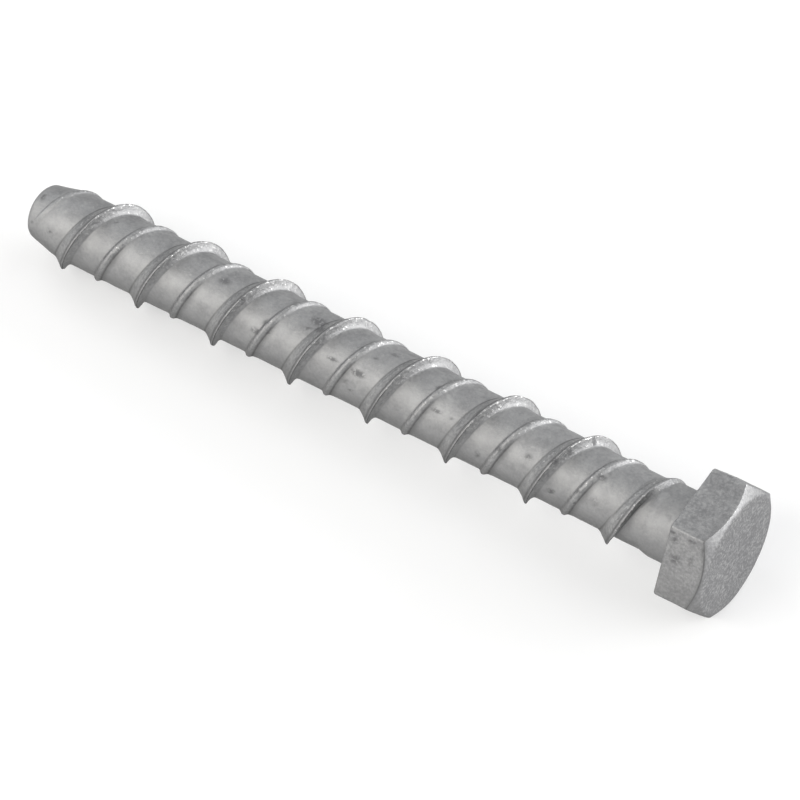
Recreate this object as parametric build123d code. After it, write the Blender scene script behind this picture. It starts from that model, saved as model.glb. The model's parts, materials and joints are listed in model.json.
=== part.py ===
from build123d import *
import math
import os

# Concrete screw: one piece of steel, a hexagon head forged on a rod and two threads rolled into it.
# Millimetres. +X runs along the screw to the top of the head and +Z is up.
# It lies as it comes to rest, on a flat of the head and on a thread crest near the tip.
# The origin is on the surface it lies on, under the middle of its outline.
# While it is shaped, the face under the head is at x = 0 and the screw's axis is the X axis.
# A "reach" is a distance from that face towards the tip, so it is minus x.

# Head
across_flats = 17.0
head_height = 6.0
corner_radius = 0.4
under_edge_radius = 0.35
crown_land = 0.45
crown_angle = 35.0

# Shank
underhead_length = 100.0
core_diameter = 9.4
neck_length = 4.2
neck_swell = 0.3
neck_fade = 1.6
underhead_fillet = 0.4
tip_taper_length = 4.9
tip_taper_angle = 13.0
tip_edge_radius = 1.3

# Both threads share one lead and are left-handed, as the photograph shows them
lead = 11.94
root_depth = 0.3
buried_depth = 0.05
points_per_turn = 16
floor_points_per_turn = 360

# Main thread: its tip side slopes and its head side is steep
main_height = 1.26
main_crest = 0.27
main_tip_flank = 1.7
main_head_flank = 0.15
main_angle = -87.0
main_tip_gap = 3.0
main_tip_fade = 4.5
main_head_gap = 4.2
main_head_fade = 3.8
main_fade_power = 0.75

# Second thread: a low ridge between the turns of the main one
second_height = 0.4
second_crest = 0.42
second_tip_flank = 0.32
second_head_flank = 0.32
second_angle = 67.0
second_tip_gap = 1.5
second_tip_fade = 17.0
second_head_gap = 6.5
second_head_fade = 4.0
second_fade_power = 0.5

# Nearer the head than this reach the threads wind closer and closer, where the rolling dies let go
closing_reach = 8.0
closing_rate = 0.17

core_radius = core_diameter / 2
neck_radius = core_radius + neck_swell
tip_radius = core_radius - tip_taper_length * math.tan(math.radians(tip_taper_angle))


# Hexagon prism with a flat underneath, cut to a cone round the top of the head.
def head():
    outline = RegularPolygon(across_flats / 2, 6, major_radius=False)
    prism = extrude(Plane.YZ * outline, head_height)
    prism = fillet(prism.edges().filter_by(Axis.X), corner_radius)
    prism = fillet(prism.faces().sort_by(Axis.X)[0].edges(), under_edge_radius)
    crown_radius = across_flats / 2 - crown_land
    cone_radius = crown_radius + head_height / math.tan(math.radians(crown_angle))
    upright_cone = Cone(cone_radius, crown_radius, head_height, align=(Align.CENTER, Align.CENTER, Align.MIN))
    return prism & Plane.YZ * upright_cone


# Turned outline of the shank: swollen neck, core, taper and rounded tip.
def shank():
    outline = Polyline(
        (head_height / 2, 0),
        (head_height / 2, neck_radius),
        (-neck_length, neck_radius),
        (-neck_length - neck_fade, core_radius),
        (tip_taper_length - underhead_length, core_radius),
        (-underhead_length, tip_radius),
        (-underhead_length, 0),
        close=True,
    )
    turned = revolve(make_face(outline), Axis.X)
    tip_edge = turned.faces().sort_by(Axis.X)[0].edges()
    return fillet(tip_edge, tip_edge_radius)


# Radius of the core, which narrows along the taper at the tip.
def core_surface(reach):
    past_taper = max(0, reach - (underhead_length - tip_taper_length))
    return core_radius - past_taper * math.tan(math.radians(tip_taper_angle))


# How far out of the core a thread stands: 0 where it starts or ends, 1 along its full stretch.
def emergence(reach, head_end, head_fade, tip_end, tip_fade, fade_power):
    from_head = (reach - head_end) / head_fade
    from_tip = (tip_end - reach) / tip_fade
    return max(0, min(1, from_head, from_tip)) ** fade_power


# Turns, in degrees, that a thread has made round the core at this reach.
def winding(reach):
    closing = closing_rate * max(0, closing_reach - reach) ** 2
    return 360 * (reach - closing) / lead


# Points of a thread's crest line: for each one its reach, its angle round X and its height over the core.
def crest_line(height, angle, head_gap, head_fade, tip_gap, tip_fade, fade_power, per_turn):
    tip_end = underhead_length - tip_gap
    steps = math.ceil((tip_end - head_gap) / lead * per_turn)
    line = []
    for step in range(steps + 1):
        reach = head_gap + (tip_end - head_gap) * step / steps
        share = emergence(reach, head_gap, head_fade, tip_end, tip_fade, fade_power)
        rise = height * share - buried_depth * (1 - share)
        line.append((reach, math.radians(angle + winding(reach)), rise))
    return line


# A rail: the curve that one corner of a thread's section follows, in stretches of half a turn.
# The crest's corners follow the crest line; the root's corners stay at one depth under the core.
def rail(line, along, on_crest):
    points = []
    for reach, turn, rise in line:
        radius = core_surface(reach + along) + (rise if on_crest else -root_depth)
        points.append((-reach - along, radius * math.cos(turn), radius * math.sin(turn)))
    steps = len(line) - 1
    whole = Edge.make_spline(points, parameters=[step / steps for step in range(steps + 1)])
    stretches = math.ceil(2 * steps / points_per_turn)
    cuts = [stretch / stretches for stretch in range(stretches + 1)]
    return [whole.trim(start, end) for start, end in zip(cuts, cuts[1:])]


# A thread: its four-sided section is carried along the crest line and gets lower at both ends.
def thread(line, height, crest, tip_flank, head_flank):
    widening = (height + root_depth) / height
    section = (
        (crest / 2 + tip_flank * widening, False),
        (crest / 2, True),
        (-crest / 2, True),
        (-crest / 2 - head_flank * widening, False),
    )
    rails = [rail(line, along, on_crest) for along, on_crest in section]
    faces = []
    for side, next_side in zip(rails, rails[1:] + rails[:1]):
        for edge, next_edge in zip(side, next_side):
            faces.append(Face.make_surface_from_curves(edge, next_edge))
    start_corners = [side[0].position_at(0) for side in rails]
    end_corners = [side[-1].position_at(1) for side in rails]
    for corners in (start_corners, end_corners):
        faces.append(Face(Wire.make_polygon(corners, close=True)))
    return Solid(Shell(faces))


# Steepest slope, seen from the edge under the head, that a floor under every crest point can have.
def rest_slope(line):
    slopes = []
    for reach, turn, rise in line:
        crest_drop = -(core_surface(reach) + rise) * math.sin(turn)
        slopes.append((across_flats / 2 - crest_drop) / (reach + under_edge_radius))
    return min(slopes)


# The whole screw in its shaping position, fused into one solid.
def upright_shape(main_line, second_line):
    body = head() + shank()
    under_corner = body.edges().filter_by(GeomType.CIRCLE).filter_by_position(Axis.X, -0.01, 0.01)
    neck_edge = under_corner.sort_by(lambda edge: abs(edge.radius - neck_radius))[0]
    body = fillet(neck_edge, underhead_fillet)
    main = thread(main_line, main_height, main_crest, main_tip_flank, main_head_flank)
    second = thread(second_line, second_height, second_crest, second_tip_flank, second_head_flank)
    return body.fuse(main, second)


main_values = (
    main_height,
    main_angle,
    main_head_gap,
    main_head_fade,
    main_tip_gap,
    main_tip_fade,
    main_fade_power,
)
second_values = (
    second_height,
    second_angle,
    second_head_gap,
    second_head_fade,
    second_tip_gap,
    second_tip_fade,
    second_fade_power,
)
main_line = crest_line(*main_values, points_per_turn)
second_line = crest_line(*second_values, points_per_turn)
screw = upright_shape(main_line, second_line)

# Laid down: turned until the thread touches the floor, then set on the floor over the origin.
floor_line = crest_line(*main_values, floor_points_per_turn)
rest_tilt = math.degrees(math.atan(rest_slope(floor_line)))
screw = Rot(0, -rest_tilt, 0) * screw
outline_box = screw.bounding_box()
middle = outline_box.center()
screw = Pos(-middle.X, -middle.Y, -outline_box.min.Z) * screw

os.makedirs("parts", exist_ok=True)
export_step(screw, "parts/concrete_screw.step")
print("rest tilt", round(rest_tilt, 3), "degrees")
print("under-head face centre moved to", Pos(-middle.X, -middle.Y, -outline_box.min.Z).position)
print("volume", round(screw.volume, 1), "solids", len(screw.solids()), "valid", screw.is_valid)
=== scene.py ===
import json
import math

import bpy
import numpy as np
from mathutils import Matrix, Vector


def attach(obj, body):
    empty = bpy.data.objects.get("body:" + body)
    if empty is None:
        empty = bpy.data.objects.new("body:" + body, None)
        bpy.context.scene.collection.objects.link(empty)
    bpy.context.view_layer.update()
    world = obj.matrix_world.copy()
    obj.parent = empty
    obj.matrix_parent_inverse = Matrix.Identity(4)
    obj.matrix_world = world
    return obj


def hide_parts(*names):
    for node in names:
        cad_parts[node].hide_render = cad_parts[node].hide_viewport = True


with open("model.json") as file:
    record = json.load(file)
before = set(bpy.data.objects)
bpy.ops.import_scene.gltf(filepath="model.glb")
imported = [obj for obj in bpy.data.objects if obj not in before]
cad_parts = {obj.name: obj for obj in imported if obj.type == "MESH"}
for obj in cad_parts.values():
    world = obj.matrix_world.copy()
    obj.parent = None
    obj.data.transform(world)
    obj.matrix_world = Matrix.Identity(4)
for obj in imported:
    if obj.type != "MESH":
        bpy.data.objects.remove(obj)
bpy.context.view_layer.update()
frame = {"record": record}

# Concrete screw: a hexagon head and a galvanised shank with a tall and a low thread, lying on a pale floor.
# The screw is one closed skin. It is worked out in millimetres, with its axis along x and the face under the
# head at x = 0. A reach is a distance from that face towards the tip, and angles go round the axis from y
# towards z. At the end the points are moved to where the screw lies.


# Shape of the screw

screwSize = {
    "acrossFlats": 17.0,
    "headHeight": 6.0,
    "cornerRadius": 0.4,          # the six upright corners of the head
    "crownLand": 0.45,            # from the flats in to the circle on top
    "crownAngle": 35.0,           # degrees, slope of the chamfer round the top
    "topEdgeRadius": 0.9,
    "crownEdgeRadius": 0.22,
    "underEdgeRadius": 0.35,
    "underheadFillet": 0.4,
    "underheadLength": 100.0,
    "coreRadius": 4.7,
    "neckLength": 4.2,
    "neckSwell": 0.3,
    "neckFade": 1.6,              # past the neck's end the swell is gone after this length
    "neckBlend": 0.2,             # and it begins to fade this much before that end
    "taperLength": 4.9,
    "taperAngle": 13.0,
    "taperBlend": 1.2,
    "tipEdgeRadius": 1.3,
    "lead": 11.94,                # both threads move on by this much in a turn
}

mainThread = {
    "height": 1.26,
    "crest": 0.27,                # width of the flat on top
    # Each flank has its run, how far it is hollowed out from 0 to 1, and the power of the hollow.
    "tipFlank": (1.7, 0.3, 2),
    "headFlank": (0.8, 0.82, 3),
    "angle": -87.0,               # degrees round the axis, where the crest would stand at reach 0
    "headGap": 4.2,               # reach where the thread comes out of the core
    "headFade": 3.8,              # and the length over which it rises
    "tipGap": 3.0,                # the same, from the end of the tip
    "tipFade": 4.5,
    "fadePower": 0.75,
    "crestRound": 0.14,
    "rootRound": 0.1,
}

lowThread = {
    "height": 0.4,
    "crest": 0.42,
    "tipFlank": (0.42, 0.0, 1),
    "headFlank": (0.7, 0.7, 2),
    "angle": 67.0,
    "headGap": 6.5,
    "headFade": 4.0,
    "tipGap": 1.5,
    "tipFade": 9.0,
    "fadePower": 0.5,
    "crestRound": 0.12,
    "rootRound": 0.12,
}

threadEnds = {
    "rootDepth": 0.3,             # a flank is carried this far under the core
    "buriedDepth": 0.05,          # and a crest starts and ends this far under it
    "leastRise": 0.01,            # flanks are worked out for a crest at least this high
    "leastRound": 0.12,           # share of its rounding that a sinking thread keeps
    "opening": (0.85, 0.5),       # shares of the full height between which a sinking flank loses its hollow
    "closingReach": 8.0,          # nearer the head than this the threads wind closer and closer
    "closingRate": 0.17,
    "narrowing": (14.0, 9.5),     # reaches between which the head side of the main thread becomes narrow
    "narrowShare": 0.2,           # of its usual run
    "shifting": (10.2, 8.2),      # reaches between which the main crest moves towards the head
    "shift": 0.3,
}


def softMax(a, b, blend):
    # The larger of the two, with a rounded change from one to the other over a height of about blend.
    overlap = np.maximum(blend - np.abs(a - b), 0) / blend
    return np.maximum(a, b) + overlap ** 2 * blend / 4


def softMin(a, b, blend):
    # The smaller of the two, rounded in the same way.
    return -softMax(-a, -b, blend)


def smoothStep(value, low, high):
    # 0 below low, 1 above high, and an even S between them.
    share = np.clip((value - low) / (high - low), 0, 1)
    return share * share * (3 - 2 * share)


def bell(away, width):
    return np.exp(-(away / width) ** 2)


unevenness = {
    "seed": 11,
    "waves": 36,
    "waveStretch": (0.6, 1.7),    # shortest and longest wave, as shares of the length asked for
    "wavePeak": 1.6,              # standard deviations of the sum that count as 1
    "crestLength": 1.1,           # millimetres between the waves of the main crest
    "crestDepth": 0.02,
    "nicks": 46,                  # bruises along the crest of the main thread
    "nickMargin": 6.0,            # none nearer than this to the ends of the shank
    "nickDepth": 0.11,
    "nickDepths": (0.2, 1.0),     # shares of that depth, before they are squared
    "nickWidth": 0.42,
    "nickWidths": (0.5, 1.6),     # shares of that width
    "dentLength": 2.6,            # soft dents all over
    "dentDepth": 0.022,
    "grainLength": 0.62,          # cast grain all over
    "grainDepth": 0.012,
    "threadGrain": 2.5,           # times as deep on the threads
    "pits": 110,
    "pitWidth": 0.18,
    "pitDepth": 0.05,
    "allSides": (0.0, 360.0),     # degrees round the axis
    "smudges": 34,                # on the far side, where no stain is listed
    "smudgeWidth": 0.8,
    "farSide": (200.0, 385.0),
    "spotWidths": (0.6, 1.5),     # shares of the pits' and smudges' width
    "spotStrengths": (0.4, 1.0),
}


def waveField(points, length, seed):
    # Sum of sine waves in seeded directions: about -1 to 1, with humps about one length apart.
    draw = np.random.default_rng(seed)
    count = unevenness["waves"]
    directions = draw.normal(size=(count, 3))
    directions /= np.linalg.norm(directions, axis=1)[:, None]
    pitches = 2 * np.pi / (length * draw.uniform(*unevenness["waveStretch"], count))
    starts = draw.uniform(0, 2 * np.pi, count)
    total = np.zeros(points.shape[:-1])
    for direction, pitch, start in zip(directions, pitches, starts):
        total += np.sin(points @ (direction * pitch) + start)
    return total / math.sqrt(count / 2) / unevenness["wavePeak"]


def coreSurface(reach):
    # Swollen neck, straight core, then a taper whose start is rounded off.
    size = screwSize
    neckEnd = size["neckLength"]
    neck = 1 - smoothStep(reach, neckEnd - size["neckBlend"], neckEnd + size["neckFade"])
    taperStart = size["underheadLength"] - size["taperLength"]
    past = softMax(reach - taperStart, 0 * reach, size["taperBlend"])
    return size["coreRadius"] + size["neckSwell"] * neck - past * math.tan(math.radians(size["taperAngle"]))


def threadRise(reach, thread):
    # Height of the crest over the core: full along the thread, and sinking under the core at both ends.
    tipEnd = screwSize["underheadLength"] - thread["tipGap"]
    fromHead = (reach - thread["headGap"]) / thread["headFade"]
    fromTip = (tipEnd - reach) / thread["tipFade"]
    share = np.clip(np.minimum(fromHead, fromTip), 0, 1) ** thread["fadePower"]
    return thread["height"] * share - threadEnds["buriedDepth"] * (1 - share)


def evenReach(reach):
    # Where a point would lie if the threads kept their lead up to the head.
    closing = np.maximum(threadEnds["closingReach"] - reach, 0)
    return reach - threadEnds["closingRate"] * closing ** 2


def closedReach(even):
    # The way back from evenReach: with c = closing and d = how far the even reach lies under the closing
    # reach, c + rate * c * c = d, whose root is c = (sqrt(1 + 4 * rate * d) - 1) / (2 * rate).
    rate = threadEnds["closingRate"]
    under = np.maximum(threadEnds["closingReach"] - even, 0)
    closing = (np.sqrt(1 + 4 * rate * under) - 1) / (2 * rate)
    return np.where(under > 0, threadEnds["closingReach"] - closing, even)


def nearestCrest(reach, angle, thread):
    # Reach of the nearest turn of the crest, at the same angle round the axis.
    lead = screwSize["lead"]
    turns = evenReach(reach) / lead + math.radians(thread["angle"]) / (2 * np.pi) - angle / (2 * np.pi)
    return closedReach(evenReach(reach) - (turns - np.round(turns)) * lead)


def fullness(rise, thread):
    # 1 where a thread stands at its full height, and less where it fades.
    return np.clip(rise / thread["height"], threadEnds["leastRound"], 1)


def crestShift(crestReach):
    # How far the main crest lies nearer to the head on its last turn there.
    return threadEnds["shift"] * smoothStep(crestReach, *threadEnds["shifting"])


def flankHeight(away, rise, thread, flank, stretch=1.0):
    # Height of a flank at a distance from the crest's edge. With t = 1 at the crest and t = 0 where it meets
    # the core, it is rise * ((1 - hollow) * t + hollow * t ** power). A lower thread has a shorter flank.
    run, hollow, power = thread[flank]
    depth = threadEnds["rootDepth"]
    stands = np.maximum(rise, threadEnds["leastRise"])
    foot = (1 + depth / thread["height"]) * stands / (stands + depth)
    t = 1 - away / (run * foot * stretch)
    hollow = hollow * (1 - smoothStep(rise / thread["height"], *threadEnds["opening"]))
    return stands * ((1 - hollow) * t + hollow * np.maximum(t, 0) ** power)


def ridge(offset, rise, thread, headStretch=1.0):
    # A flat crest with rounded edges between its two flanks.
    rounding = thread["crestRound"] * fullness(rise, thread)
    tipSide = flankHeight(offset - thread["crest"] / 2, rise, thread, "tipFlank")
    headSide = flankHeight(-offset - thread["crest"] / 2, rise, thread, "headFlank", headStretch)
    return softMin(softMin(tipSide, rise, rounding), headSide, rounding)


def crestWear(crestReach, angle, core, rise):
    # How far the main crest is lowered: waves, and bells at seeded places measured along the crest line.
    rough = unevenness
    crestPoints = np.stack([crestReach, core * np.cos(angle), core * np.sin(angle)], axis=-1)
    wobble = waveField(crestPoints, rough["crestLength"], rough["seed"] + 1)
    draw = np.random.default_rng(rough["seed"] + 2)
    margin = rough["nickMargin"]
    places = draw.uniform(margin, screwSize["underheadLength"] - margin, rough["nicks"])
    depths = rough["nickDepth"] * draw.uniform(*rough["nickDepths"], rough["nicks"]) ** 2
    widths = rough["nickWidth"] * draw.uniform(*rough["nickWidths"], rough["nicks"])
    along = 2 * np.pi * (core + rise) / screwSize["lead"]
    bruise = np.zeros(crestReach.shape)
    for place, depth, width in zip(places, depths, widths):
        bruise += depth * bell((crestReach - place) * along, width)
    return rough["crestDepth"] * (0.5 + 0.5 * wobble) + bruise


def screwRadius(reach, angle):
    # Core plus whichever thread stands higher, with rounded roots and a bruised crest.
    core = coreSurface(reach)
    crestReach = nearestCrest(reach, angle, mainThread)
    rise = threadRise(crestReach, mainThread)
    rise = rise - crestWear(crestReach, angle, core, rise)
    narrowing = smoothStep(crestReach, *threadEnds["narrowing"])
    narrowing *= 1 - smoothStep(rise / mainThread["height"], *threadEnds["opening"])
    headStretch = 1 - (1 - threadEnds["narrowShare"]) * narrowing
    tall = ridge(reach - crestReach + crestShift(crestReach), rise, mainThread, headStretch)
    lowReach = nearestCrest(reach, angle, lowThread)
    lowRise = threadRise(lowReach, lowThread)
    low = ridge(reach - lowReach, lowRise, lowThread)
    stands = softMax(0 * reach, tall, mainThread["rootRound"] * fullness(rise, mainThread))
    return core + softMax(stands, low, lowThread["rootRound"] * fullness(lowRise, lowThread))


def hexagonRadius(angle):
    # Distance to the side of the hexagon, with a circle of cornerRadius let into each corner.
    half = screwSize["acrossFlats"] / 2
    radius = screwSize["cornerRadius"]
    halfSide = math.pi / 6
    fromCorner = np.abs((angle + halfSide) % (2 * halfSide) - halfSide)
    flat = half / np.cos(halfSide - fromCorner)
    centre = (half - radius) / math.cos(halfSide)
    aside = centre * np.sin(fromCorner)
    rounded = centre * np.cos(fromCorner) + np.sqrt(np.maximum(radius ** 2 - aside ** 2, 0))
    tangent = math.atan2(radius * math.sin(halfSide), centre + radius * math.cos(halfSide))
    return np.where(fromCorner < tangent, rounded, flat)


def turnedProfile(corners, roundings, rowsPerRun, rowsPerCorner):
    # Rows of (x, radius) along straight runs between corners; each inner corner is an arc of its own radius.
    # The arc is a rational curve through the corner, whose weight is the cosine of half the turn.
    rows = []
    previous = corners[0]
    for number, corner in enumerate(corners[1:-1]):
        following = corners[number + 2]
        into = corner - corners[number]
        away = following - corner
        into = into / np.linalg.norm(into, axis=-1, keepdims=True)
        away = away / np.linalg.norm(away, axis=-1, keepdims=True)
        cosTurn = np.clip((into * away).sum(-1, keepdims=True), -1, 1)
        weight = np.sqrt((1 + cosTurn) / 2)
        setback = roundings[number] * np.sqrt((1 - cosTurn) / (1 + cosTurn))
        arcStart = corner - into * setback
        arcEnd = corner + away * setback
        for step in range(rowsPerRun[number]):
            share = step / rowsPerRun[number]
            rows.append(previous * (1 - share) + arcStart * share)
        for step in range(rowsPerCorner[number]):
            share = step / rowsPerCorner[number]
            blend = [(1 - share) ** 2, 2 * weight * share * (1 - share), share ** 2]
            rows.append((arcStart * blend[0] + corner * blend[1] + arcEnd * blend[2]) / sum(blend))
        previous = arcEnd
    for step in range(rowsPerRun[-1] + 1):
        share = step / rowsPerRun[-1]
        rows.append(previous * (1 - share) + corners[-1] * share)
    return np.array(rows)


skinGrid = {
    # Rows across one lead, from the main crest towards the tip: distance in millimetres and rows up to there.
    "rowsOverLead": [
        (0.36, 7), (1.6, 6), (2.1, 5), (6.1, 6), (7.6, 14),
        (10.9, 6), (11.81, 14), (screwSize["lead"], 3),
    ],
    # Columns over half a side of the head, in degrees from the corner: close together at the corner.
    "columnsOverHalfSide": [0.0, 0.4, 0.8, 1.25, 2.1, 3.6, 6.0, 9.4, 13.4, 17.5, 21.7, 25.9],
    "headRuns": [14, 3, 14, 5, 2],    # rows on the top, the chamfer, a side, the underside and the neck
    "headCorners": [3, 3, 4, 5],
    "tipRuns": [1, 8],                # rows on the shank and on the end of the tip
    "tipCorners": [9],
    "topRing": 0.15,                  # radius of the innermost ring on the top of the head
    "tipRing": 0.12,
    "afterFillet": 0.6,               # from the fillet under the head to the first winding row
    "beforeTip": 1.15,                # from the last winding row to the end of the tip
}


def windingSpan():
    # Reaches between which the rows follow the threads.
    size = screwSize
    return size["underheadFillet"] + skinGrid["afterFillet"], size["underheadLength"] - skinGrid["beforeTip"]


def columnAngles():
    # Angles of the columns round the axis: both halves of each of the six sides.
    half = np.array(skinGrid["columnsOverHalfSide"])
    side = np.concatenate([half, 60 - half[:0:-1]])
    side = np.insert(side, len(half), 30.0)
    return np.radians(np.concatenate([side + 60 * number for number in range(6)]))


def rowShares():
    # Places of the rows across one lead, as shares of the lead from the main crest towards the tip.
    places = []
    start = 0.0
    for end, count in skinGrid["rowsOverLead"]:
        places.append(start + (end - start) * np.arange(count) / count)
        start = end
    return np.concatenate(places) / screwSize["lead"]


def crownRadius():
    # Radius of the circle on the top of the head, where the chamfer begins.
    return screwSize["acrossFlats"] / 2 - screwSize["crownLand"]


def crownDrop(radius):
    # How far the chamfer has come down from the top at this radius.
    return (radius - crownRadius()) * math.tan(math.radians(screwSize["crownAngle"]))


def headRows(angles, endReach):
    # From the middle of the top outwards, over the chamfer, down a side and in under the head to the neck.
    size = screwSize
    hexagon = hexagonRadius(angles)
    neck = coreSurface(np.array(0.0))
    same = np.ones(len(angles))
    corners = [
        np.stack([same * size["headHeight"], same * skinGrid["topRing"]], axis=-1),
        np.stack([same * size["headHeight"], same * crownRadius()], axis=-1),
        np.stack([size["headHeight"] - crownDrop(hexagon), hexagon], axis=-1),
        np.stack([same * 0, hexagon], axis=-1),
        np.stack([same * 0, same * neck], axis=-1),
        np.stack([same * -endReach, same * neck], axis=-1),
    ]
    edges = ["topEdgeRadius", "crownEdgeRadius", "underEdgeRadius", "underheadFillet"]
    roundings = [size[edge] for edge in edges]
    return turnedProfile(corners, roundings, skinGrid["headRuns"], skinGrid["headCorners"])


def tipRows(angles, startReach):
    # From the end of the threads over the rounded edge of the tip to the middle of its end.
    same = np.ones(len(angles))
    tipReach = screwSize["underheadLength"]
    corners = [
        np.stack([-startReach * same, coreSurface(np.array(startReach)) * same], axis=-1),
        np.stack([-tipReach * same, coreSurface(np.array(tipReach)) * same], axis=-1),
        np.stack([-tipReach * same, skinGrid["tipRing"] * same], axis=-1),
    ]
    return turnedProfile(corners, [screwSize["tipEdgeRadius"]], skinGrid["tipRuns"], skinGrid["tipCorners"])


def windingRows(angles, startReach, endReach):
    # Rows that follow the threads. In one turn a row's reach grows by one lead, so it ends where the row one
    # lead on begins. Rows that would pass the first or last reach are held there.
    lead = screwSize["lead"]
    shares = rowShares()
    base = -math.radians(mainThread["angle"]) / (2 * np.pi)
    firstTurn = math.floor(evenReach(startReach) / lead - base) - 1
    lastTurn = math.ceil(endReach / lead - base) + 1
    turns = np.arange(firstTurn, lastTurn)
    along = (turns[:, None] + shares[None, :]).ravel() + base
    reach = closedReach(lead * (along[:, None] + angles[None, :] / (2 * np.pi)))
    return np.clip(reach, startReach, endReach), len(shares)


def ringFaces(ids):
    # Quads between rings of the same number of points, closed round the axis.
    here, beside = ids, np.roll(ids, -1, axis=1)
    return np.stack([here[:-1], here[1:], beside[1:], beside[:-1]], axis=-1).reshape(-1, 4)


def windingFaces(ids, rowsPerTurn, lastId):
    # Faces between the winding rows. After the last column a row goes on as the row one lead on. Where a quad
    # has one side shut at the first or last ring it becomes a triangle.
    onward = np.concatenate([ids[rowsPerTurn:, :1], np.full((rowsPerTurn, 1), lastId)])
    beside = np.concatenate([ids[:, 1:], onward], axis=1)
    quads = np.stack([ids[:-1], ids[1:], beside[1:], beside[:-1]], axis=-1).reshape(-1, 4)
    leftShut = quads[:, 0] == quads[:, 1]
    rightShut = quads[:, 2] == quads[:, 3]
    triangles = np.concatenate([
        quads[leftShut & ~rightShut][:, [0, 2, 3]],
        quads[rightShut & ~leftShut][:, [0, 1, 2]],
    ])
    return quads[~leftShut & ~rightShut], triangles


def screwSkin():
    # Head rings, winding rows and tip rings, joined at the two rings where the winding rows are cut off.
    angles = columnAngles()
    count = len(angles)
    startReach, endReach = windingSpan()
    head = headRows(angles, startReach)
    tip = tipRows(angles, endReach)
    reach, rowsPerTurn = windingRows(angles, startReach, endReach)
    everyAngle = np.broadcast_to(angles, reach.shape)
    radius = screwRadius(reach, everyAngle)

    headCount, windCount = head.shape[0] * count, reach.size
    headIds = np.arange(headCount).reshape(-1, count)
    windIds = headCount + np.arange(windCount).reshape(reach.shape)
    tipIds = headCount + windCount + np.arange(tip.shape[0] * count).reshape(-1, count)
    windIds = np.where(reach <= startReach, headIds[-1], windIds)
    windIds = np.where(reach >= endReach, tipIds[0], windIds)
    quads, triangles = windingFaces(windIds, rowsPerTurn, tipIds[0, 0])
    quads = np.concatenate([ringFaces(headIds), quads, ringFaces(tipIds)])

    # The rings next to the winding rows take its radius, so that no step shows where they meet.
    headRadius = head[..., 1]
    shankPart = head[..., 0] <= -screwSize["underheadFillet"]
    wall = screwRadius(-head[..., 0], np.broadcast_to(angles, headRadius.shape))
    headRadius = np.where(shankPart, wall, headRadius)
    tipRadius = tip[..., 1].copy()
    tipRadius[0] = screwRadius(np.full(count, endReach), angles)

    x = np.concatenate([head[..., 0].ravel(), -reach.ravel(), tip[..., 0].ravel()])
    r = np.concatenate([headRadius.ravel(), radius.ravel(), tipRadius.ravel()])
    headTurns, tipTurns = np.tile(angles, head.shape[0]), np.tile(angles, tip.shape[0])
    turn = np.concatenate([headTurns, everyAngle.ravel(), tipTurns])
    x = np.append(x, [screwSize["headHeight"], -screwSize["underheadLength"]])
    r = np.append(r, [0, 0])
    turn = np.append(turn, [0, 0])
    topPole, tipPole = len(x) - 2, len(x) - 1
    first, last = headIds[0], tipIds[-1]
    caps = np.concatenate([
        np.stack([np.full(count, topPole), first, np.roll(first, -1)], axis=-1),
        np.stack([last, np.full(count, tipPole), np.roll(last, -1)], axis=-1),
    ])
    triangles = np.concatenate([triangles, caps])
    used = np.unique(np.concatenate([quads.ravel(), triangles.ravel()]))
    renumber = np.full(len(x), -1)
    renumber[used] = np.arange(len(used))
    points = np.stack([x, r * np.cos(turn), r * np.sin(turn)], axis=-1)[used]
    return points, renumber[quads], renumber[triangles]


def placedPoints(points):
    # From the shaping position to where the screw lies, and from millimetres to metres. The record's mount on
    # the top of the head gives the place and the axis.
    mount = next(m for m in frame["record"]["mounts"] if m["name"] == "head_top")
    along = np.array(mount["axis"])
    across = np.array([0.0, 1.0, 0.0])
    upright = np.cross(along, across)
    fromTop = points[:, :1] - screwSize["headHeight"]
    moved = fromTop * along + points[:, 1:2] * across + points[:, 2:] * upright
    return np.array(mount["pos_m"]) + moved / 1000


def meshFromArrays(name, points, quads, triangles):
    # Quads first, then triangles; every face smooth.
    mesh = bpy.data.meshes.new(name)
    mesh.vertices.add(len(points))
    mesh.vertices.foreach_set("co", points.ravel())
    mesh.loops.add(quads.size + triangles.size)
    mesh.loops.foreach_set("vertex_index", np.concatenate([quads.ravel(), triangles.ravel()]))
    starts = np.concatenate([np.arange(len(quads)) * 4, quads.size + np.arange(len(triangles)) * 3])
    mesh.polygons.add(len(starts))
    mesh.polygons.foreach_set("loop_start", starts)
    mesh.update(calc_edges=True)
    mesh.validate()
    mesh.shade_smooth()
    return mesh
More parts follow.
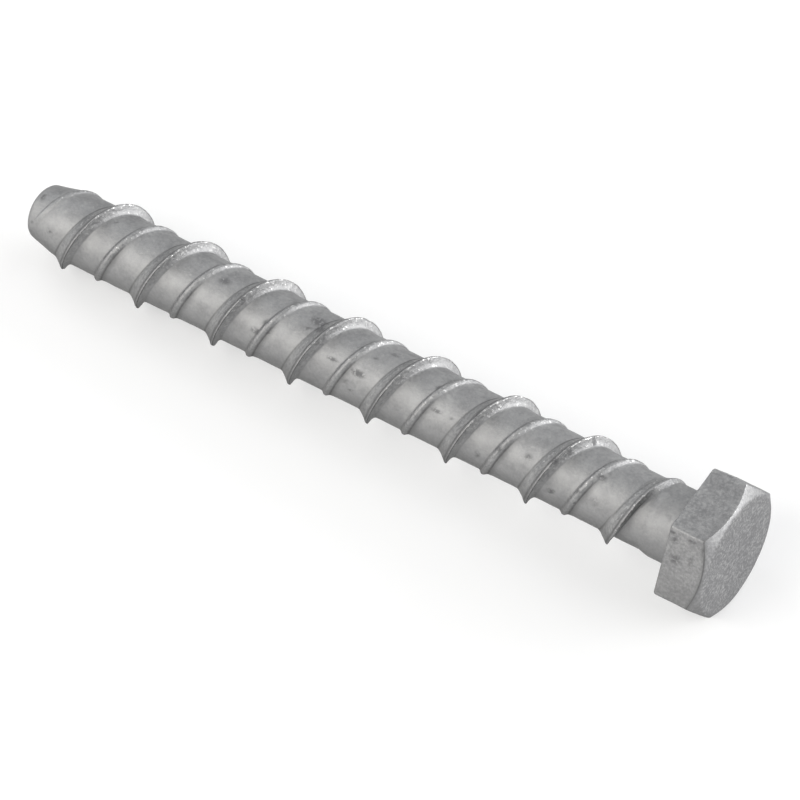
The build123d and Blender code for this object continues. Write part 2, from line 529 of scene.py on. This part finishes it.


# Dark marks where the zinc is stained or knocked. Each has its distance from the face under
# the head towards the tip, degrees round the axis, half its length along the screw, half its width and its
# darkness from 0 to 1. Lengths are in millimetres.
stains = [
    (98.7, 95, 0.35, 0.6, 0.9),
    (98.7, 150, 0.3, 0.3, 0.7),
    (95.5, 146, 0.5, 0.35, 0.7),
    (87.5, 83, 0.35, 0.35, 0.8),
    (78.0, 94, 0.3, 0.4, 0.8),
    (70.0, 90, 1.0, 0.7, 0.75),
    (66.0, 107, 0.3, 0.4, 1.0),
    (63.0, 139, 0.7, 0.45, 0.95),
    (62.2, 119, 0.2, 1.1, 0.7),
    (65.3, 172, 0.3, 0.3, 0.8),
    (56.0, 80, 1.3, 0.8, 0.95),
    (55.0, 93, 0.8, 0.7, 1.0),
    (56.8, 99, 0.4, 0.4, 0.8),
    (51.7, 125, 0.9, 0.3, 0.8),
    (49.2, 90, 0.25, 0.4, 0.7),
    (47.7, 127, 1.1, 0.5, 0.95),
    (48.9, 149, 0.35, 0.5, 0.7),
    (48.2, 158, 0.35, 0.3, 0.8),
    (46.4, 94, 0.35, 0.35, 0.8),
    (44.9, 72, 0.7, 0.3, 0.8),
    (37.4, 90, 0.35, 0.5, 0.8),
    (36.0, 125, 0.9, 0.3, 0.8),
    (33.8, 125, 0.4, 0.3, 0.6),
    (30.6, 105, 0.4, 0.9, 0.9),
    (29.0, 159, 0.35, 0.7, 0.8),
    (26.1, 133, 0.35, 0.4, 0.9),
    (22.2, 125, 0.6, 0.5, 0.7),
    (18.6, 114, 0.4, 0.5, 1.0),
    (17.5, 94, 0.5, 0.4, 0.9),
    (16.3, 55, 0.35, 0.4, 0.9),
    (18.1, 160, 0.55, 0.4, 1.0),
    (14.4, 138, 0.35, 0.35, 0.9),
    (12.4, 104, 0.7, 0.4, 0.9),
    (12.0, 142, 0.5, 0.8, 0.6),
    (-0.5, 124, 0.5, 0.25, 0.9),
    (-1.0, 128, 0.5, 0.5, 0.8),
    (-3.2, 124, 0.7, 0.25, 0.8),
    (-4.9, 127, 0.3, 0.4, 0.7),
    (-1.8, 144, 1.0, 0.5, 0.9),
    (-3.8, 140, 0.3, 0.7, 0.8),
    (-3.7, 85, 0.8, 1.5, 0.35),
]


def spotField(points, spots):
    # The strongest spot at each point: its strength in the middle, fading out as a bell over its size.
    reach = -points[:, 0]
    angle = np.arctan2(points[:, 2], points[:, 1])
    radius = np.hypot(points[:, 1], points[:, 2])
    field = np.zeros(len(points))
    for place, degrees, length, width, strength in spots:
        aside = (angle - math.radians(degrees) + np.pi) % (2 * np.pi) - np.pi
        away = ((reach - place) / length) ** 2 + (radius * aside / width) ** 2
        field = np.maximum(field, strength * np.exp(-away))
    return field


def scatteredSpots(count, width, sides, seed):
    # Seeded spots from the top of the head to the tip, between two angles round the axis.
    draw = np.random.default_rng(seed)
    places = draw.uniform(-screwSize["headHeight"], screwSize["underheadLength"], count)
    degrees = draw.uniform(*sides, count)
    lengths = width * draw.uniform(*unevenness["spotWidths"], count)
    widths = width * draw.uniform(*unevenness["spotWidths"], count)
    strengths = draw.uniform(*unevenness["spotStrengths"], count)
    return list(zip(places, degrees, lengths, widths, strengths))


def threadHeight(points):
    # How far a point of the shank stands over the core; 0 on the head.
    reach = -points[:, 0]
    over = np.hypot(points[:, 1], points[:, 2]) - coreSurface(reach)
    return np.where(reach > windingSpan()[0], over, 0)


# Painted light and shade round the screw, laid into the colour, and the strengths of the mottled grain.
sideLook = {
    "brightest": 75.0,            # degrees round the axis of the side with the most painted light
    "even": 0.5,                  # on the top of the head, which has no bright and dull side
    "poleFade": 3.5,              # millimetres from the axis within which the sides even out
    "lastTurn": (9.5, 7.5),       # reaches between which the thread gets painted highlight all round, under the head
    "lastTurnLeast": 0.85,
    "topDepth": 0.1,              # millimetres below the top of the head that still belong to it
    "topMottling": 1.0,
    "headMottling": 0.45,         # on the rest of the head
    "onThread": (0.04, 0.25),     # heights over the core between which a point comes to belong to a thread
}


def towardsBright(angle):
    # 1 on the brightest side of the screw and -1 on the opposite one.
    return np.cos(angle - math.radians(sideLook["brightest"]))


def isOnTop(points):
    return points[:, 0] > screwSize["headHeight"] - sideLook["topDepth"]


def mottling(points):
    # How strong the mottled grain is: most on the top of the head, and 0 on the shank. The same value sets
    # how much painted shade darkens the head.
    onHead = np.where(points[:, 0] > 0, sideLook["headMottling"], 0)
    return np.where(isOnTop(points), sideLook["topMottling"], onHead)


def paintedSideLight(points, onThread):
    # Painted side light: high on the lit side and low on the shaded one, but even on the top of the head. The
    # last turn of the threads under the head gets painted highlight all round.
    even = sideLook["even"]
    angle = np.arctan2(points[:, 2], points[:, 1])
    fromAxis = np.hypot(points[:, 1], points[:, 2])
    sided = np.where(isOnTop(points), 0, smoothStep(fromAxis, 0, sideLook["poleFade"]))
    sideLight = even + (towardsBright(angle) - even) * sided
    lastTurn = onThread * smoothStep(-points[:, 0], *sideLook["lastTurn"])
    return sideLight + lastTurn * np.maximum(sideLook["lastTurnLeast"] - sideLight, 0)


# Painted shade lines beside the threads and under the chamfer, laid into the colour.
shadeLines = {
    "fromCrest": 0.16,            # millimetres from the crest's edge down the flank on the tip side
    "crestWidth": 0.2,
    "rootWidth": 0.12,
    "fromLowCrest": 0.4,          # the same on the head side of the low thread
    "lowWidth": 0.14,
    "lowStrength": 1.3,
    "lowSides": (0.5, 0.95),      # cosines from the brightest side between which that line fades out
    "crownWidth": 0.16,
    "crownStrength": 0.7,
    "crownSide": (116.0, 182.0),  # degrees round the axis where the edge under the chamfer is dark
}


def linesOnMain(reach, angle):
    # Painted shade lines along the crest of the main thread and where its flank meets the core, on the tip
    # side.
    lines = shadeLines
    crestReach = nearestCrest(reach, angle, mainThread)
    full = np.clip(threadRise(crestReach, mainThread) / mainThread["height"], 0, 1)
    away = reach - crestReach + crestShift(crestReach) - mainThread["crest"] / 2
    atCrest = bell(away - lines["fromCrest"], lines["crestWidth"])
    atRoot = bell(away - mainThread["tipFlank"][0] * full, lines["rootWidth"])
    return full * np.maximum(atCrest, atRoot)


def lineOnLow(reach, angle):
    # Painted shadow on the head side of the low thread, away from the lit side of the screw.
    lines = shadeLines
    lowReach = nearestCrest(reach, angle, lowThread)
    full = np.clip(threadRise(lowReach, lowThread) / lowThread["height"], 0, 1)
    away = reach - lowReach + lowThread["crest"] / 2 + lines["fromLowCrest"]
    lowerSide = 1 - smoothStep(towardsBright(angle), *lines["lowSides"])
    return lines["lowStrength"] * full * lowerSide * bell(away, lines["lowWidth"])


def lineOnCrown(reach, angle):
    # Painted shade under the chamfer, along one side of the head.
    lines = shadeLines
    first, last = np.radians(lines["crownSide"])
    away = reach + screwSize["headHeight"] - crownDrop(hexagonRadius(angle))
    return lines["crownStrength"] * bell(away, lines["crownWidth"]) * ((angle > first) & (angle < last))


def darkLines(points):
    # The darkest painted shade line at each point, from 0 to about 1.
    reach = -points[:, 0]
    angle = np.arctan2(points[:, 2], points[:, 1])
    onShank = np.maximum(linesOnMain(reach, angle), lineOnLow(reach, angle))
    return np.where(reach > 0, onShank, lineOnCrown(reach, angle))


def neighbourPairs(mesh):
    # Both directions of every edge: a point's number and its neighbour's.
    ends = np.zeros(len(mesh.edges) * 2, np.int32)
    mesh.edges.foreach_get("vertices", ends)
    ends = ends.reshape(-1, 2)
    return np.concatenate([ends, ends[:, ::-1]])


def pointNormals(mesh):
    normals = np.zeros(len(mesh.vertices) * 3, np.float32)
    mesh.vertex_normals.foreach_get("vector", normals)
    return normals.reshape(-1, 3)


def surfaceBend(mesh, points, pairs):
    # How far the neighbours fall below the plane through a point, over their distance squared: the bend of
    # the surface per millimetre, above 0 on an edge and below 0 in a corner, evened out with the neighbours.
    here, there = pairs.T
    away = points[there] - points[here]
    fall = -2 * (away * pointNormals(mesh)[here]).sum(1) / (away ** 2).sum(1)
    number = np.bincount(here, minlength=len(points))
    bend = np.bincount(here, fall, len(points)) / number
    around = np.bincount(here, bend[there], len(points)) / number
    return 0.5 * bend + 0.5 * around


def pointValues(mesh, name, values):
    made = mesh.attributes.new(name, "FLOAT", "POINT")
    made.data.foreach_set("value", values.astype(np.float32))


def buildScrew():
    # The plain skin gets its bend first, and is then pressed in by dents, grain and pits.
    rough = unevenness
    points, quads, triangles = screwSkin()
    mesh = meshFromArrays("screwSkin", points, quads, triangles)
    bend = surfaceBend(mesh, points, neighbourPairs(mesh))
    pitted = scatteredSpots(rough["pits"], rough["pitWidth"], rough["allSides"], rough["seed"] + 3)
    pits = spotField(points, pitted)
    smudged = scatteredSpots(rough["smudges"], rough["smudgeWidth"], rough["farSide"], rough["seed"] + 4)
    dents = 0.5 + 0.5 * waveField(points, rough["dentLength"], rough["seed"])
    grain = 0.5 + 0.5 * waveField(points, rough["grainLength"], rough["seed"] + 5)
    onThread = smoothStep(threadHeight(points), *sideLook["onThread"])
    grain *= 1 + (rough["threadGrain"] - 1) * onThread
    pressed = rough["dentDepth"] * dents + rough["grainDepth"] * grain + rough["pitDepth"] * pits
    placed = placedPoints(points - pointNormals(mesh) * pressed[:, None])
    mesh.vertices.foreach_set("co", placed.astype(np.float32).ravel())
    mesh.update()
    pointValues(mesh, "bend", bend)
    pointValues(mesh, "thread", onThread)
    pointValues(mesh, "head", mottling(points))
    pointValues(mesh, "sideLight", paintedSideLight(points, onThread))
    pointValues(mesh, "lined", darkLines(points))
    pointValues(mesh, "pits", pits)
    pointValues(mesh, "stains", spotField(points, stains + smudged))
    screw = bpy.data.objects.new("screw_skin", mesh)
    bpy.context.scene.collection.objects.link(screw)
    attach(screw, "root")
    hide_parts("concrete_screw")
    print("screw skin:", len(points), "points,", 2 * len(quads) + len(triangles), "triangles")
    return screw


# Materials


class Wire:
    # A node's output that can be used in arithmetic: each operator adds a Math node.
    def __init__(self, tree, socket=None):
        self.tree = tree
        self.socket = socket

    def node(self, kind, settings=None, inputs=None, output=0):
        # A node of this kind, with its settings and then its inputs; gives back one of its outputs.
        made = self.tree.nodes.new(kind)
        for name, value in (settings or {}).items():
            setattr(made, name, value)
        for name, value in (inputs or {}).items():
            if isinstance(value, Wire):
                self.tree.links.new(value.socket, made.inputs[name])
            else:
                made.inputs[name].default_value = value
        return Wire(self.tree, made.outputs[output] if len(made.outputs) else None)

    def maths(self, operation, first, second):
        return self.node("ShaderNodeMath", {"operation": operation}, {0: first, 1: second})

    def __add__(self, other):
        return self.maths("ADD", self, other)

    def __radd__(self, other):
        return self.maths("ADD", other, self)

    def __sub__(self, other):
        return self.maths("SUBTRACT", self, other)

    def __rsub__(self, other):
        return self.maths("SUBTRACT", other, self)

    def __mul__(self, other):
        return self.maths("MULTIPLY", self, other)

    def __rmul__(self, other):
        return self.maths("MULTIPLY", other, self)

    def step(self, low, high):
        # 0 below low and 1 above high, with a smooth change.
        settings = {"interpolation_type": "SMOOTHSTEP"}
        return self.node("ShaderNodeMapRange", settings, {"Value": self, "From Min": low, "From Max": high})

    def noise(self, scale, detail, roughness):
        inputs = {"Vector": self, "Scale": scale, "Detail": detail, "Roughness": roughness}
        return self.node("ShaderNodeTexNoise", None, inputs)

    def attribute(self, name):
        # A number kept at each point of the mesh.
        return self.node("ShaderNodeAttribute", {"attribute_name": name}, None, 2)

    def mixture(self, share, one, other):
        # The first colour where the share is 0 and the other one where it is 1.
        return self.node("ShaderNodeMix", {"data_type": "RGBA"}, {0: share, 6: one, 7: other}, 2)

    def bumped(self, strength, distance, normal=None):
        # A bump of this height in metres, over the bump before it if there is one.
        inputs = {"Strength": strength, "Distance": distance, "Height": self}
        if normal:
            inputs["Normal"] = normal
        return self.node("ShaderNodeBump", None, inputs)


def newMaterial(name):
    material = bpy.data.materials.new(name)
    material.use_nodes = True
    material.node_tree.nodes.clear()
    return material, Wire(material.node_tree)


def finishMaterial(wire, inputs):
    shader = wire.node("ShaderNodeBsdfPrincipled", None, inputs)
    wire.node("ShaderNodeOutputMaterial", None, {"Surface": shader})


zincLook = {
    "dull": (0.26, 0.26, 0.265, 1),
    "bright": (0.46, 0.46, 0.46, 1),
    "wornAndGlint": (0.80, 0.80, 0.79, 1),      # rubbed edges, partly with painted highlight, and bright flakes that are painted glints
    "paintedShade": (0.15, 0.15, 0.15, 1),     # painted shade: in the corners beside the threads, on convex edges, along lines and on the shaded side
    "stain": (0.11, 0.11, 0.115, 1),
    "grazing": (0.4, 0.4, 0.4, 1),      # how much it still reflects when seen edge on
    # Noises, with their cells in a metre, detail and roughness: a grain is about 0.4 mm.
    "grain": (2600.0, 3.0, 0.6),
    "flakes": (2100.0, 3.0, 0.65),
    "blotches": (480.0, 4.0, 0.6),
    # Where a mark begins and where it is full, in the value that it is made from.
    "edges": (0.8, 3.2),                # bend of the surface per millimetre
    "corners": (0.12, 1.6),
    "rubbedFlakes": (0.5, 0.62),
    "sparks": (0.57, 0.72),
    "stains": (0.1, 0.75),
    "stainRims": (0.34, 0.52),
    "pits": (0.35, 0.8),
    "litSide": (0.4, 0.95),
    "shadedSide": (0.2, 0.9),
    "mottling": (0.2, 0.8),
    # Strength of the mottling, and how much painted shade darkens the head, most of all its top.
    "blotchMottling": 0.4,
    "grainMottling": 0.45,
    "headMottling": 0.95,
    "threadMottling": 0.35,
    "headPaintedShade": 0.12,
    "threadSparks": (0.1, 0.75),        # painted glints on the core, and how many more on a thread
    "glintsBySide": (0.2, 0.8),           # painted glints on the shaded side, and how many more on the lit one
    # How much of each colour is laid over the ones before.
    "rimLess": 0.55,                    # so much less painted dark rim on the lit side
    "rubbed": (0.08, 0.6),              # rubbed edge on the shaded side, and how much more on the lit one, where the extra is painted highlight
    "shadedSideDarkening": 0.35,
    "cornered": 0.4,
    "lined": 0.85,
    "stained": 0.58,
    "pitted": 0.5,
    "lineLeast": 0.35,                  # a line and a pit also show where the flakes are weakest
    "pitLeast": 0.5,
    # Roughness, and how it changes with the grain, the sparks, rubbed edges and stains.
    "roughness": 0.6,
    "grainRoughness": 0.3,
    "sparkGloss": 0.25,
    "rubbedGloss": 0.15,
    "stainRoughness": 0.1,
    # Bumps, with their strength and their height in metres.
    "grainBump": (0.8, 0.00005),
    "flakeBump": (0.8, 0.00012),
}


def zincMaterial():
    look = zincLook
    material, start = newMaterial("galvanised zinc")
    place = start.node("ShaderNodeTexCoord", output=3)
    bend = start.attribute("bend")
    thread = start.attribute("thread")
    head = start.attribute("head")
    sideLight = start.attribute("sideLight")
    grain = place.noise(*look["grain"])
    flakes = place.noise(*look["flakes"])
    blotches = place.noise(*look["blotches"])

    # Rubbed edges break up into flakes, corners get painted shade, and stains have ragged rims.
    rim = bend.step(*look["edges"])
    rubbed = rim * flakes.step(*look["rubbedFlakes"])
    corners = (0.0 - bend).step(*look["corners"])
    lines = start.attribute("lined") * (look["lineLeast"] + flakes)
    ragged = start.attribute("stains").step(*look["stains"]) * flakes.step(*look["stainRims"])
    pits = (start.attribute("pits") * (look["pitLeast"] + flakes)).step(*look["pits"])

    # Sparks are painted glints, mostly on the threads and on the lit side. The grain is mottled, most on the
    # head, and painted shade darkens the head.
    litSide = sideLight.step(*look["litSide"])
    shadedSide = (sideLook["even"] - sideLight).step(*look["shadedSide"])
    onCore, moreOnThread = look["threadSparks"]
    onDull, moreOnBright = look["glintsBySide"]
    sparks = flakes.step(*look["sparks"]) * (onCore + moreOnThread * thread)
    sparks = sparks * (onDull + moreOnBright * litSide)
    strength = look["grainMottling"] + look["headMottling"] * head + look["threadMottling"] * thread
    mottled = (blotches - 0.5) * look["blotchMottling"] + (grain - 0.5) * strength
    # Painted shade: the head is darker, most of all its top.
    mottled = mottled - look["headPaintedShade"] * head

    rubbedDull, litEdgeHighlight = look["rubbed"]
    colour = start.mixture((0.5 - mottled).step(*look["mottling"]), look["bright"], look["dull"])
    # Bright flakes as painted glints.
    colour = start.mixture(sparks, colour, look["wornAndGlint"])
    # Painted shade on convex edges, for the dark they reflect; less of it on the lit side.
    colour = start.mixture(rim * (1.0 - look["rimLess"] * litSide), colour, look["paintedShade"])
    # Rubbed edges: real wear, with painted highlight added on the lit side.
    colour = start.mixture(rubbed * (rubbedDull + litEdgeHighlight * litSide), colour, look["wornAndGlint"])
    # Painted shade on the side of the screw away from the light.
    colour = start.mixture(shadedSide * look["shadedSideDarkening"], colour, look["paintedShade"])
    # Painted shade in the corners beside the threads.
    colour = start.mixture(corners * look["cornered"], colour, look["paintedShade"])
    # Painted shade lines beside the threads and under the chamfer.
    colour = start.mixture(lines * look["lined"], colour, look["paintedShade"])
    colour = start.mixture(ragged * look["stained"], colour, look["stain"])
    colour = start.mixture(pits * look["pitted"], colour, look["stain"])

    roughness = look["roughness"] + (grain - 0.5) * look["grainRoughness"] - sparks * look["sparkGloss"]
    roughness = roughness - rubbed * look["rubbedGloss"] + ragged * look["stainRoughness"]
    bumps = grain.bumped(*look["grainBump"])
    bumps = (flakes * thread).bumped(*look["flakeBump"], bumps)
    finishMaterial(start, {
        "Base Color": colour,
        "Metallic": 1.0,
        "Specular Tint": look["grazing"],
        "Roughness": roughness,
        "Normal": bumps,
    })
    print("zinc is made:", len(material.node_tree.nodes), "nodes")
    return material


floorLook = {
    "colour": (0.5, 0.5, 0.5, 1),
    "glowColour": (1.0, 1.0, 1.0, 1),
    "roughness": 0.8,
    "glow": 0.45,                 # lifts the paper to the even white of a light table
    "size": 6.0,                  # metres
}


def floorMaterial():
    material, start = newMaterial("pale floor")
    finishMaterial(start, {
        "Base Color": floorLook["colour"],
        "Roughness": floorLook["roughness"],
        "Emission Color": floorLook["glowColour"],
        "Emission Strength": floorLook["glow"],
    })
    return material


# Floor, lights and camera


def buildFloor():
    half = floorLook["size"] / 2
    corners = np.array([[-half, -half, 0], [half, -half, 0], [half, half, 0], [-half, half, 0]])
    mesh = meshFromArrays("floorSheet", corners, np.array([[0, 1, 2, 3]]), np.zeros((0, 3), int))
    floor = bpy.data.objects.new("floor_sheet", mesh)
    floor.data.materials.append(floorMaterial())
    bpy.context.scene.collection.objects.link(floor)
    print("floor is laid")


softLights = [
    # name, azimuth and elevation in degrees as seen from the screw, watts, colour
    ("front", 350.0, 35.0, 1.5, (1.0, 0.975, 0.93)),
    ("front left", 325.0, 55.0, 2.1, (1.0, 0.985, 0.95)),
    ("front left low", 310.0, 25.0, 1.8, (1.0, 0.975, 0.93)),
    ("right", 100.0, 28.0, 2.8, (1.0, 1.0, 1.0)),
    ("back right", 130.0, 12.0, 5.5, (1.0, 1.0, 1.0)),
    ("back", 165.0, 25.0, 2.0, (0.98, 0.99, 1.0)),
    ("back left", 240.0, 40.0, 1.2, (0.96, 0.98, 1.0)),
    ("left", 275.0, 20.0, 0.8, (0.96, 0.98, 1.0)),
]

lightBox = {
    "distance": 0.9,              # metres from the screw
    "side": 0.45,                 # metres
}

skyLook = {
    "colour": (0.98, 0.99, 1.0, 1),
    "strength": 0.4,
}


def directionTo(azimuth, elevation):
    # Azimuth 0 is seen from -y and 90 from +x.
    a, e = math.radians(azimuth), math.radians(elevation)
    return Vector((math.sin(a) * math.cos(e), -math.cos(a) * math.cos(e), math.sin(e)))


def buildLights():
    for name, azimuth, elevation, watts, colour in softLights:
        data = bpy.data.lights.new(name, "AREA")
        data.size = lightBox["side"]
        data.energy = watts
        data.color = colour
        lamp = bpy.data.objects.new(name, data)
        back = directionTo(azimuth, elevation)
        lamp.location = back * lightBox["distance"]
        lamp.rotation_euler = (-back).to_track_quat("-Z", "Y").to_euler()
        bpy.context.scene.collection.objects.link(lamp)
    world = bpy.data.worlds.new("plain sky")
    world.use_nodes = True
    background = world.node_tree.nodes["Background"]
    background.inputs["Color"].default_value = skyLook["colour"]
    background.inputs["Strength"].default_value = skyLook["strength"]
    bpy.context.scene.world = world
    print("lights are set:", len(softLights))


cameraView = {
    "lookAt": (0.004627, -0.001985, 0.008),
    "azimuth": 39.544,
    "elevation": 55.885,
    "roll": 6.948,                # degrees, turns the camera's top towards its right
    "distance": 0.64322,
    "lens": 231.12,               # millimetres
    "sensor": 36.0,
    "clipStart": 0.01,            # metres
}


def buildCamera():
    view = cameraView
    data = bpy.data.cameras.new("camera")
    data.lens = view["lens"]
    data.sensor_width = view["sensor"]
    data.clip_start = view["clipStart"]
    camera = bpy.data.objects.new("camera", data)
    back = directionTo(view["azimuth"], view["elevation"])
    upright = (-back).to_track_quat("-Z", "Y").to_matrix().to_4x4()
    rolled = upright @ Matrix.Rotation(math.radians(-view["roll"]), 4, "Z")
    camera.matrix_world = Matrix.Translation(Vector(view["lookAt"]) + back * view["distance"]) @ rolled
    bpy.context.scene.collection.objects.link(camera)
    bpy.context.scene.camera = camera
    print("camera is set")


screw = buildScrew()
screw.data.materials.append(zincMaterial())
buildFloor()
buildLights()
buildCamera()
bpy.context.scene.view_settings.view_transform = "Standard"
print("scene is made")
